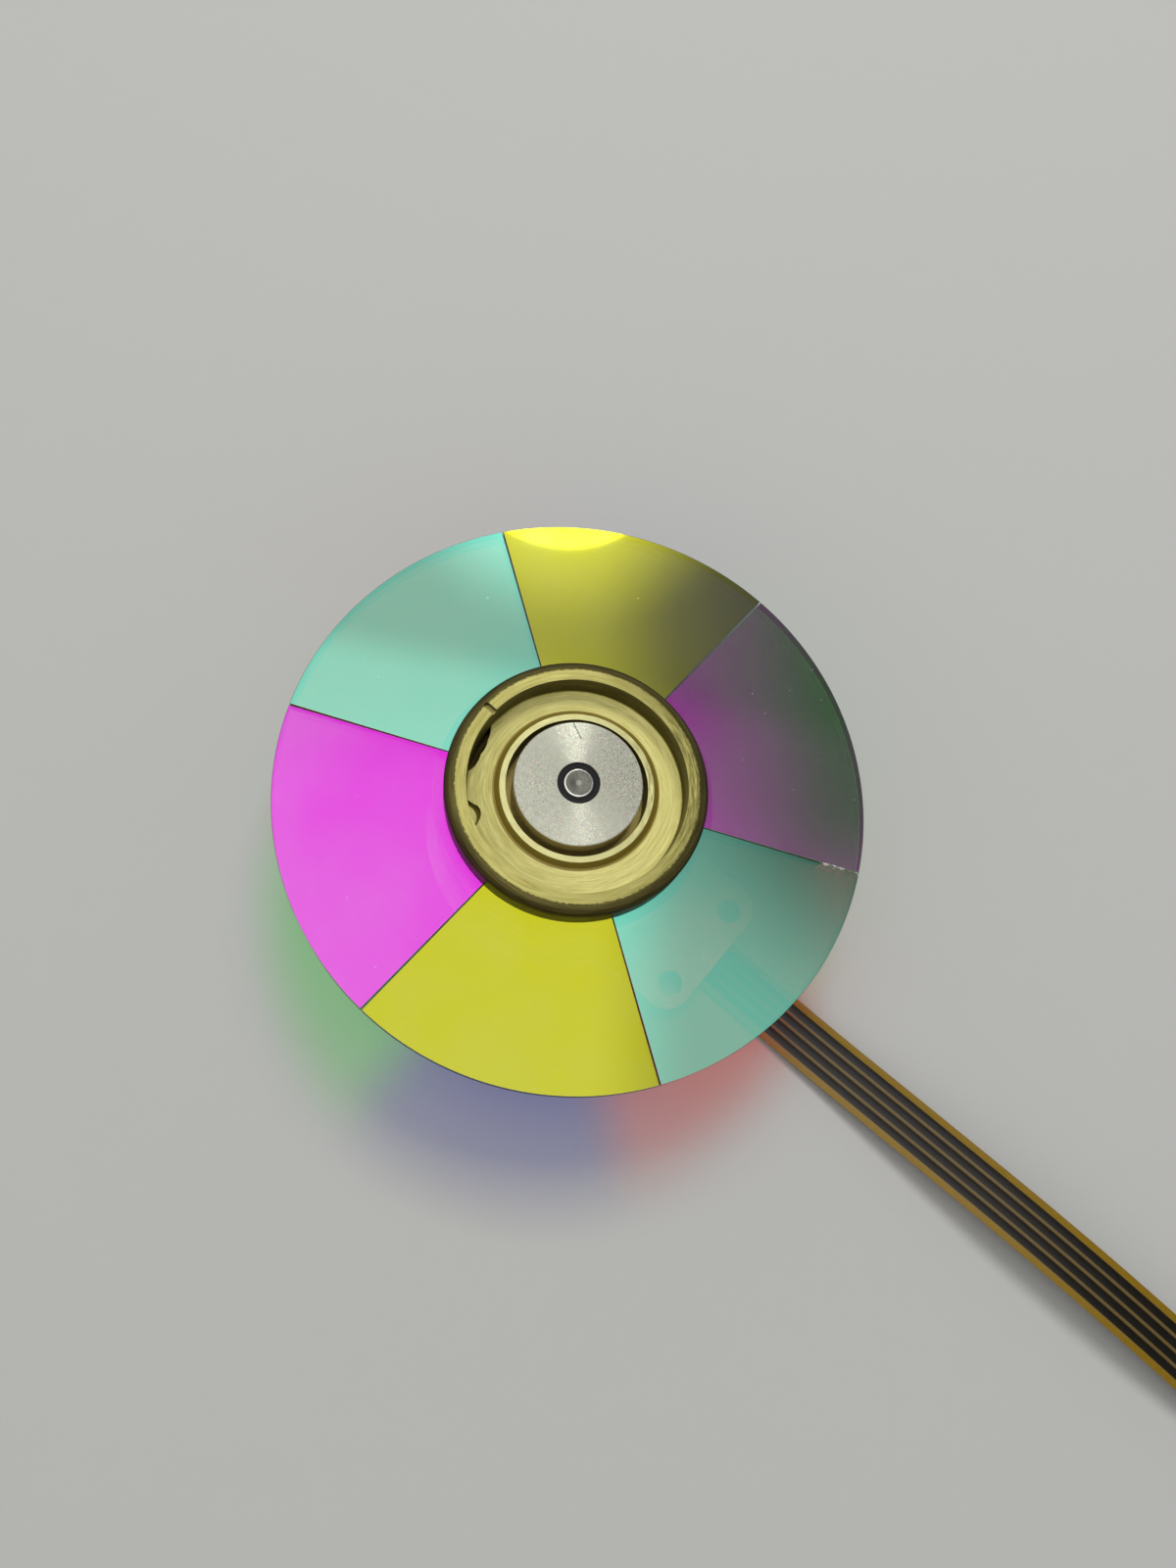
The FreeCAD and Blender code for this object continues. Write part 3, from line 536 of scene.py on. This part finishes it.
# finishes of the pieces that keep their own solids
carriedOver = {
    "filter_bond": "shadedBond",
    "retaining_ring": "thrust",
    "rotor_yoke": "cup",
    "magnet_ring": "magnet",
    "timing_mark": "mark",
    "base_plate": "plate",
    "bearing_holder": "holder",
    "bearing_sleeve": "sleeve",
    "thrust_plate": "thrust",
    "thrust_pad": "pad",
    "stator_core": "core",
    "upper_insulator": "insulator",
    "lower_insulator": "insulator",
    "solder_joints": "tin",
    "cable_stiffener": "stiffener",
    "cable_contacts": "tin",
}
for node, look in carriedOver.items():
    for holder in nodes[node].material_slots:
        holder.material = looks[look]


# mesh helpers, all in mm
def addMesh(name, shape):
    mesh = bpy.data.meshes.new(name)
    shape.to_mesh(mesh)
    shape.free()
    piece = bpy.data.objects.new(name, mesh)
    bpy.context.scene.collection.objects.link(piece)
    return piece


def toObject(name, shape, look, sharpAngle=32):
    bmesh.ops.scale(shape, vec=(mm, mm, mm), verts=shape.verts)
    bmesh.ops.recalc_face_normals(shape, faces=shape.faces)
    piece = addMesh(name, shape)
    mesh = piece.data
    mesh.polygons.foreach_set("use_smooth", [True] * len(mesh.polygons))
    mesh.set_sharp_from_angle(angle=math.radians(sharpAngle))
    mesh.materials.append(looks[look])
    return piece


def eased(shape, width, angle):
    sharp = [e for e in shape.edges if e.is_manifold and e.calc_face_angle() > math.radians(angle)]
    settings = {"offset": width, "segments": 2, "profile": 0.5, "affect": "EDGES", "clamp_overlap": True}
    bmesh.ops.bevel(shape, geom=sharp, **settings)


def bridge(shape, here, there):  # faces between two closed loops
    for j in range(len(here)):
        k = (j + 1) % len(here)
        shape.faces.new((here[j], here[k], there[k], there[j]))


def arc(centre, radius, first, last, steps):
    turn = [math.radians(first + (last - first) * i / steps) for i in range(steps + 1)]
    return [(centre[0] + radius * math.cos(a), centre[1] + radius * math.sin(a)) for a in turn]


def turned(profile, steps=240):  # a closed profile of (radius, height) turned about Z
    shape = bmesh.new()
    loops = []
    for step in range(steps):
        a = 2 * math.pi * step / steps
        loops.append([shape.verts.new((r * math.cos(a), r * math.sin(a), z)) for r, z in profile])
    for step in range(steps):
        here, there = loops[step], loops[(step + 1) % steps]
        for i in range(len(profile)):
            j = (i + 1) % len(profile)
            shape.faces.new((here[i], there[i], there[j], here[j]))
    bmesh.ops.remove_doubles(shape, verts=shape.verts, dist=1e-5)
    bmesh.ops.recalc_face_normals(shape, faces=shape.faces)
    return shape


def ride(piece, body, slot, *replaced):
    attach(piece, body)
    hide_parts(*replaced)


def cutWith(target, tool, operation):
    modifier = target.modifiers.new("cut", "BOOLEAN")
    modifier.operation = operation
    modifier.solver = "EXACT"
    modifier.object = tool
    result = bpy.data.meshes.new_from_object(target.evaluated_get(bpy.context.evaluated_depsgraph_get()))
    target.modifiers.clear()
    target.data = result


def disc(radius, low, high, reach=0.0, angle=0.0, steps=72, end=None):
    shape = bmesh.new()
    end = radius if end is None else end
    settings = {"cap_ends": True, "segments": steps, "radius1": end, "radius2": radius, "depth": high - low}
    bmesh.ops.create_cone(shape, **settings)
    a = math.radians(angle)
    middle = (reach * math.cos(a), reach * math.sin(a), (low + high) / 2)
    bmesh.ops.translate(shape, verts=shape.verts, vec=middle)
    return shape


# glass sectors
def glassSector(first, last):
    inner, outer, steps = filters["bore"], glassRadius, filters["steps"]
    shape = bmesh.new()
    loops = []
    for i in range(steps + 1):
        a = math.radians(first + (last - first) * i / steps)
        section = [(inner, glassBottom), (outer, glassBottom), (outer, glassTop), (inner, glassTop)]
        loops.append([shape.verts.new((r * math.cos(a), r * math.sin(a), z)) for r, z in section])
    for here, there in zip(loops, loops[1:]):
        bridge(shape, here, there)
    shape.faces.new(loops[0])
    shape.faces.new(loops[-1][::-1])
    bmesh.ops.recalc_face_normals(shape, faces=shape.faces)
    eased(shape, filters["edge"], 40)
    return shape


def addFilters():
    angle = filters["start"]
    for number in (1, 2):
        for colour, span in zip(filters["order"], filters["spans"]):
            first, last = angle + filters["gap"] / 2, angle + span - filters["gap"] / 2
            piece = toObject(f"{colour}Glass{number}", glassSector(first, last), colour, 12)
            ride(piece, "rotor", f"{colour}_filter", f"{colour}_filter_{number}")
            angle += span


addFilters()
print("glass sectors made")


def addBalanceRing():
    top, foot = ringTop, glassTop - ring["foot"]
    shoulder, footRound = ring["shoulder"], ring["footRound"]
    floorRun, floorRise = ring["trough"] - ring["floorEnd"], ring["foot"] + ring["floorRise"]
    floorSlope = math.degrees(math.atan2(floorRise, floorRun))
    lift = math.tan(math.radians(45 + floorSlope / 2))  # keeps the rounded corner against the floor
    rim = arc((ringRadius - shoulder, top - shoulder), shoulder, 0, 90, 10)
    profile = [
        (ring["collarBore"], ringBottom),
        (ring["spigot"], ringBottom),
        (ring["spigot"], glassTop),
        (ringRadius, glassTop),
        *rim,
        (ring["trough"], top),
        *arc((ring["trough"] - footRound, foot + footRound * lift), footRound, 0, -90 - floorSlope, 10),
        (ring["floorEnd"], glassTop + ring["floorRise"]),
        (ring["collar"], glassTop + ring["collarHeight"]),
        (ring["collarBore"], glassTop + ring["collarHeight"]),
    ]
    body = addMesh("balanceRing", turned(profile))
    high = glassTop + ring["collarHeight"]
    cutters = []
    for radius, reach, angle, deep, end in ring["cuts"]:
        cutters.append(addMesh("cutter", disc(radius, foot - deep, high, reach, angle, end=end)))
    for other in cutters[1:]:
        cutWith(cutters[0], other, "UNION")
    within = addMesh("within", disc(ring["trough"] - ring["cutMargin"], foot - 2, high + 1, steps=240))
    cutWith(cutters[0], within, "INTERSECT")
    cutWith(body, cutters[0], "DIFFERENCE")

    nick = ring["nick"]
    half, low = nick["width"] / 2, top - nick["depth"]
    slotEnd = addMesh("slotEnd", disc(half, low, top + 1, nick["reach"], nick["angle"], 24))
    run = bmesh.new()
    bmesh.ops.create_cube(run, size=1)
    start = ring["trough"] - nick["width"]
    long = nick["reach"] - start
    bmesh.ops.scale(run, vec=(long, nick["width"], nick["depth"] + 1), verts=run.verts)
    bmesh.ops.translate(run, vec=(start + long / 2, 0, low + (nick["depth"] + 1) / 2), verts=run.verts)
    bmesh.ops.rotate(run, matrix=Matrix.Rotation(math.radians(nick["angle"]), 3, "Z"), verts=run.verts)
    slotRun = addMesh("slotRun", run)
    cutWith(slotEnd, slotRun, "UNION")
    cutWith(body, slotEnd, "DIFFERENCE")

    shape = bmesh.new()
    shape.from_mesh(body.data)
    bmesh.ops.remove_doubles(shape, verts=shape.verts, dist=2e-4)
    for tool in (*cutters, within, slotEnd, slotRun, body):
        bpy.data.objects.remove(tool)
    piece = toObject("turnedRing", shape, "brass", 14)
    ride(piece, "rotor", "ring_brass", "balance_ring")


addBalanceRing()
print("balance ring made")


def addHub():
    low = edgeOf("rotor_hub", 0, 2)
    base = low + hub["spigotLength"]
    seat = hubTop - hub["sealDepth"]
    profile = [
        (hub["bore"], low),
        (hub["spigot"], low),
        (hub["spigot"], base),
        (hub["flange"], base),
        (hub["flange"], base + hub["landHeight"]),
        (hub["land"], base + hub["landHeight"]),
        (hub["land"], base + hub["flangeHeight"]),
        (hub["boss"], base + hub["flangeHeight"]),
        (hub["boss"], hubTop - hub["chamfer"]),
        (hub["boss"] - hub["chamfer"], hubTop),
        (hub["sealSeat"], hubTop),
        (hub["sealSeat"], seat),
        (hub["bore"], seat),
    ]
    piece = toObject("facedHub", turned(profile), "hub")
    ride(piece, "rotor", "hub_aluminium", "rotor_hub")


def addShaft():
    r, crown, foot = axle["radius"], axle["crown"], axle["foot"]
    throat = r - axle["grooveDepth"]
    grooveLow = axle["grooveTop"] - axle["grooveHeight"]
    dish = [
        (axle["dimple"] * t, hubTop - axle["dimpleDepth"] * math.cos(math.pi / 2 * t) ** 2)
        for t in (i / 12 for i in range(12, -1, -1))
    ]
    profile = [
        (0, shaftBottom),
        *arc((r - foot, shaftBottom + foot), foot, -90, 0, 5),
        (r, grooveLow),
        (throat, grooveLow),
        (throat, axle["grooveTop"]),
        (r, axle["grooveTop"]),
        *arc((r - crown, hubTop - crown), crown, 0, 90, 6),
        *dish,
    ]
    piece = toObject("groundShaft", turned(profile, 120), "shaft")
    ride(piece, "rotor", "shaft_steel", "shaft")


seal = {"bore": 1.27, "radius": 1.79, "lip": 0.15, "valley": 0.06}


def addSeal():
    inner, outer, lip = seal["bore"], seal["radius"], seal["lip"]
    base, low = hubTop - hub["sealDepth"], hubTop - seal["valley"]
    profile = [
        (inner, base),
        (outer, base),
        (outer, hubTop),
        *arc((outer - lip / 2, hubTop), lip / 2, 0, 180, 6)[1:],
        (outer - lip, low),
        (inner + lip, low),
        *arc((inner + lip / 2, hubTop - lip / 2), lip / 2, 0, 180, 6),
    ]
    piece = toObject("grooveSeal", turned(profile, 96), "seal")
    ride(piece, "rotor", "seal_black", "shaft_seal")


addHub()
addShaft()
addSeal()
print("hub, shaft and seal made")

# motor windings
winding = {
    "wire": 0.105,
    "sides": 8,
    "turns": 11,
    "spacing": 40,  # degrees from coil to coil
    "inner": 4.95,
    "length": 2.4,
    "half": 1.57,
    "low": 3.23,
    "high": 8.17,
    "corner": 0.45,
}


def coilPath():  # the middle of one turn, across the tooth and up
    wire, corner = winding["wire"], winding["corner"]
    side = winding["half"] - wire - corner
    low, high = winding["low"] + wire + corner, winding["high"] - wire - corner
    path = []
    for first, centre in ((0, (side, high)), (90, (-side, high)), (180, (-side, low)), (270, (side, low))):
        path += arc(centre, corner, first, first + 90, 5)
    return path


def addTurn(shape, path, middle, placed):
    wire, sides = winding["wire"], winding["sides"]
    loops = []
    for i, (y, z) in enumerate(path):
        before, after = path[i - 1], path[(i + 1) % len(path)]
        run = Vector((after[0] - before[0], after[1] - before[1])).normalized()
        loop = []
        for side in range(sides):
            a = 2 * math.pi * side / sides
            out = wire * math.cos(a)
            spot = Vector((middle + wire * math.sin(a), y + run.y * out, z - run.x * out))
            loop.append(shape.verts.new(placed @ spot))
        loops.append(loop)
    for i, here in enumerate(loops):
        bridge(shape, here, loops[(i + 1) % len(loops)])


def addWindings():
    path = coilPath()
    pitch = winding["length"] / winding["turns"]
    for first, phase in enumerate(("u", "v", "w")):
        shape = bmesh.new()
        for coil in range(3):
            placed = Matrix.Rotation(math.radians(winding["spacing"] * (first + 3 * coil)), 4, "Z")
            for number in range(winding["turns"]):
                addTurn(shape, path, winding["inner"] + pitch * (number + 0.5), placed)
        piece = toObject(f"windings{phase.upper()}", shape, "copper", 60)
        ride(piece, "motor_base", "copper", f"coils_phase_{phase}")


addWindings()
print("windings made")

# flat cable: a film with four conductors in it
cable = {
    "route": (
        (18.9, 0.0, 0.39),
        (28.0, 0.0, 0.39),
        (41.0, 0.0, 1.70),
        (56.0, 0.0, 3.10),
        (70.0, 0.0, 2.70),
        (82.0, 0.0, 0.90),
        (90.5, 0.0, 0.30),
        (99.0, 0.0, 0.30),
    ),
    "width": 5.0,
    "thickness": 0.2,
    "pitch": 1.0,
    "lead": 0.72,
    "relief": 0.02,
    "bundle": 1.9,  # half the width of the four leads
    "soft": 0.02,
    "amber": (tint(118, 92, 10), tint(134, 104, 18)),
    "leadTone": (tint(14, 10, 3), tint(18, 13, 4)),
    "gapTone": (tint(92, 76, 40), tint(110, 90, 50)),
    "length": 80.35,
}


def cableLook():
    material, look = newLook("amberFilm")
    where, x, y, z = look.place()
    offCentre = ((y / cable["pitch"] + 2.0).maths("FRACT") - 0.5).maths("ABSOLUTE")
    soft, edge, bundle = cable["soft"], cable["lead"] / 2, cable["bundle"]
    inLead = look.between(offCentre, edge + soft, edge - soft)
    inBundle = look.between(y.maths("ABSOLUTE"), bundle + soft, bundle - soft)
    grain = look.noise(where, 1.2, 4.0, 0.6)
    amber = look.blend(grain, *cable["amber"])
    gap = look.blend(grain * 0.5, *cable["gapTone"])
    lead = look.blend(grain, *cable["leadTone"])
    tone = look.blend(inBundle, amber, look.blend(inLead, gap, lead))
    rough = 0.3 + (grain - 0.5) * 0.1
    normal = look.bump(look.noise(where, 3.0, 2.0, 0.5), 0.2, 0.00003)
    look.finish(look.principled(tone, rough, 0.0, Normal=normal))
    return material


looks["film"] = cableLook()


def cableLine():
    data = bpy.data.curves.new("cableLine", "CURVE")
    data.dimensions = "3D"
    data.resolution_u = 24
    spline = data.splines.new("NURBS")
    spline.points.add(len(cable["route"]) - 1)
    for point, place in zip(spline.points, cable["route"]):
        point.co = (*(v * mm for v in place), 1.0)
    spline.order_u = 3
    spline.use_endpoint_u = True
    line = bpy.data.objects.new("cableLine", data)
    bpy.context.scene.collection.objects.link(line)
    bpy.context.view_layer.update()
    mesh = bpy.data.meshes.new_from_object(line)
    points = [v.co.copy() / mm for v in mesh.vertices]
    bpy.data.objects.remove(line)
    bpy.data.meshes.remove(mesh)
    return points


def filmSection():  # across the film and up, with a low swelling over each conductor
    half, thick, swell = cable["width"] / 2, cable["thickness"] / 2, cable["relief"]
    reach = cable["lead"] / 2
    level = thick - swell
    section = [(-half, level)]
    for lead in range(4):
        middle = cable["pitch"] * (lead - 1.5)
        section += [(middle - reach - 0.05, level), (middle - reach + 0.06, thick)]
        section += [(middle + reach - 0.06, thick), (middle + reach + 0.05, level)]
    return section + [(half, level), (half, -thick), (-half, -thick)]


def addCable():
    points = cableLine()
    section = filmSection()
    shape = bmesh.new()
    loops = []
    for i, point in enumerate(points):
        run = (points[min(i + 1, len(points) - 1)] - points[max(i - 1, 0)]).normalized()
        up = run.cross(Vector((0, 1, 0))) * -1
        if up.z < 0:
            up = -up
        spots = [point + Vector((0, across, 0)) + up * rise for across, rise in section]
        loops.append([shape.verts.new(spot) for spot in spots])
    for here, there in zip(loops, loops[1:]):
        bridge(shape, here, there)
    shape.faces.new(loops[0])
    shape.faces.new(loops[-1][::-1])
    piece = toObject("flatCable", shape, "film", 40)
    ride(piece, "motor_base", "polyimide", "flex_cable")
    tuple(v * mm for v in cable["route"][0])
    cable["length"] * mm
    cable["width"] * mm


for holder in nodes["flex_head"].material_slots:
    holder.material = looks["film"]
addCable()
print("cable made")


# floor, lamps and surroundings
studio = {
    "floorTones": (tint(182, 182, 179), tint(176, 176, 174)),
    "floorSize": 3.0,  # metres
    "turn": 40.4,  # degrees from the photograph's own axes to the part's
    "lampDistance": 0.6,
    "seen": 0.9,
    "walls": 0.32,
    "softbox": {"from": (0.02, 0.3), "borders": (0.95, 0.45), "strength": 1.36},
    "halo": {"from": (0.1, 0.67), "borders": (0.2, 0.08), "strength": 0.85},
    "shades": (  # how much darker, then borders: shares of right and up, where it begins and is full
        (0.72, (1, 0, 0.06, 0.34), (1, 0, 1.1, 0.8), (0.6, 1, 0.26, 0.5), (0, 1, 1.1, 0.8)),
        (0.42, (1, 0, 0.12, 0.22)),
        (0.3, (0.15, 1, 0.42, 0.47)),
        (0.13, (0, 1, 0.3, 0.43)),
        (0.8, (1, 0, 0.4, 0.5), (0, 1, 0.2, 0.05)),
    ),
    "cornerShade": (0.5, (1, 0, 0.28, 0.37), (0, 1, 0.24, 0.32)),
}
lamps = {  # slopes right and up in the photograph's own axes, sizes in metres
    "keyLamp": {
        "from": (0.09, 0.55),
        "size": (0.24, 0.24),
        "power": 1.8,
        "shape": "RECTANGLE",
        "mirrored": False,
    },
    "glareLamp": {
        "from": (0.095, 0.717),
        "size": (0.112, 0.086),
        "power": 0.1,
        "shape": "ELLIPSE",
        "mirrored": True,
    },
}


def photoDirection(right, up):
    a = math.radians(studio["turn"])
    x = right * math.cos(a) - up * math.sin(a)
    y = right * math.sin(a) + up * math.cos(a)
    return Vector((x, y, 1.0)).normalized()


def addFloor():
    material, look = newLook("paleFloor")
    where = look.place()[0]
    mottle = look.noise(where, 0.3, 3.0, 0.5)
    normal = look.bump(look.noise(where, 1.2, 4.0, 0.6), 0.12, 0.0002)
    tone = look.blend(mottle * 0.2, *studio["floorTones"])
    look.finish(look.principled(tone, 0.7, 0.0, Normal=normal))
    mesh = bpy.data.meshes.new("floor")
    half = studio["floorSize"] / 2
    corners = [(-half, -half, 0), (half, -half, 0), (half, half, 0), (-half, half, 0)]
    mesh.from_pydata(corners, [], [(0, 1, 2, 3)])
    mesh.materials.append(material)
    floor = bpy.data.objects.new("floor", mesh)
    bpy.context.scene.collection.objects.link(floor)


def addLamp(name, lamp):
    data = bpy.data.lights.new(name, "AREA")
    data.shape = lamp["shape"]
    data.size, data.size_y = lamp["size"]
    data.energy = lamp["power"]
    placed = bpy.data.objects.new(name, data)
    bpy.context.scene.collection.objects.link(placed)
    direction = photoDirection(*lamp["from"])
    place = direction * studio["lampDistance"] + Vector((0, 0, glassTop * mm))
    placed.matrix_world = Matrix.Translation(place) @ direction.to_track_quat("Z", "Y").to_matrix().to_4x4()
    placed.visible_glossy = lamp["mirrored"]


def shaded(look, strength, right, up, depth, *borders):
    share = depth
    for rightShare, upShare, begins, full in borders:
        share = look.between(right * rightShare + up * upShare, begins, full) * share
    return strength * (1 - share)


def addWorld():
    world = bpy.data.worlds.new("studio")
    world.use_nodes = True
    bpy.context.scene.world = world
    look = Look(world.node_tree)
    x, y, z = look.parts(look.node("ShaderNodeTexCoord", out="Generated"))
    a = math.radians(studio["turn"])
    lift = z.maths("MAXIMUM", 0.05)
    right = (x * math.cos(a) + y * math.sin(a)) / lift
    up = (y * math.cos(a) - x * math.sin(a)) / lift

    def apart(spot):  # how far a direction lies from a spot
        return ((right - spot[0]) ** 2 + (up - spot[1]) ** 2) ** 0.5

    softbox, halo = studio["softbox"], studio["halo"]
    off = apart(softbox["from"])
    lit = look.between(off, *softbox["borders"])
    strength = studio["walls"] + lit * (softbox["strength"] - studio["walls"])
    for shade in studio["shades"]:
        strength = shaded(look, strength, right, up, *shade)
    strength = strength + look.between(apart(halo["from"]), *halo["borders"]) * halo["strength"]
    strength = shaded(look, strength, right, up, *studio["cornerShade"])
    strength = strength + look.between(off, 1.2, 2.0) * 0.4 + look.between(up, -0.3, -0.8) * 0.2
    kinds = ("Camera", "Glossy", "Transmission")
    rays = [look.node("ShaderNodeLightPath", out=f"Is {kind} Ray") for kind in kinds]
    seen = (rays[0] + (rays[1] + rays[2]) * look.between(z, 0.3, 0.1)).maths("MINIMUM", 1.0)
    strength = strength * (1 - seen) + seen * studio["seen"]
    background = look.node("ShaderNodeBackground", inputs={"Color": (1, 1, 1, 1), "Strength": strength})
    look.node("ShaderNodeOutputWorld", inputs={"Surface": background})


addFloor()
for name, lamp in lamps.items():
    addLamp(name, lamp)
addWorld()
bpy.context.scene.view_settings.view_transform = "Standard"
print("floor, lamps and surroundings made")
